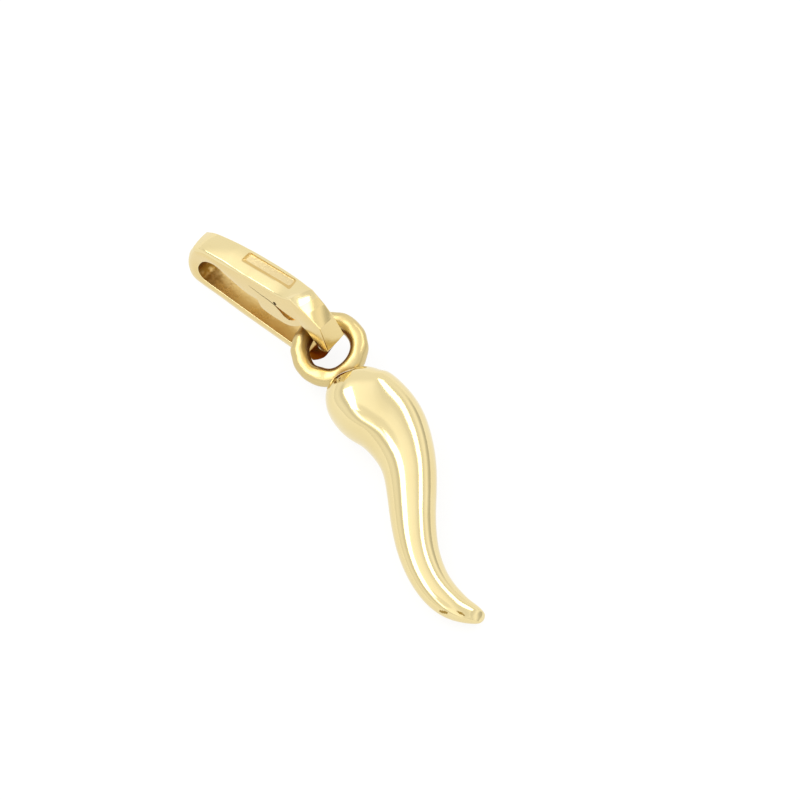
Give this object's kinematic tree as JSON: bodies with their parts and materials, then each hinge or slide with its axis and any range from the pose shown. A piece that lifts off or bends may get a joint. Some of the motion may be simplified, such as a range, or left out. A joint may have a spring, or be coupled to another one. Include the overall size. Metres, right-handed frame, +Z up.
{
  "type": "cornicello horn pendant",
  "caption": "Small polished gold horn charm with a round head, an S-curved tapering body, a soldered ring and a long flat bail for a neck chain.",
  "frame": {"origin": "middle of the pendant's footprint, on the surface it lies on", "axes": "+X along the pendant's length from the bail to the horn's tip, +Z up, out of the surface"},
  "size_m": [0.0252, 0.0064, 0.0048],
  "materials": {
    "gold": "polished yellow gold"
  },
  "bodies": {
    "root": {"bail": "gold", "horn": "gold"}
  },
  "joints": []
}
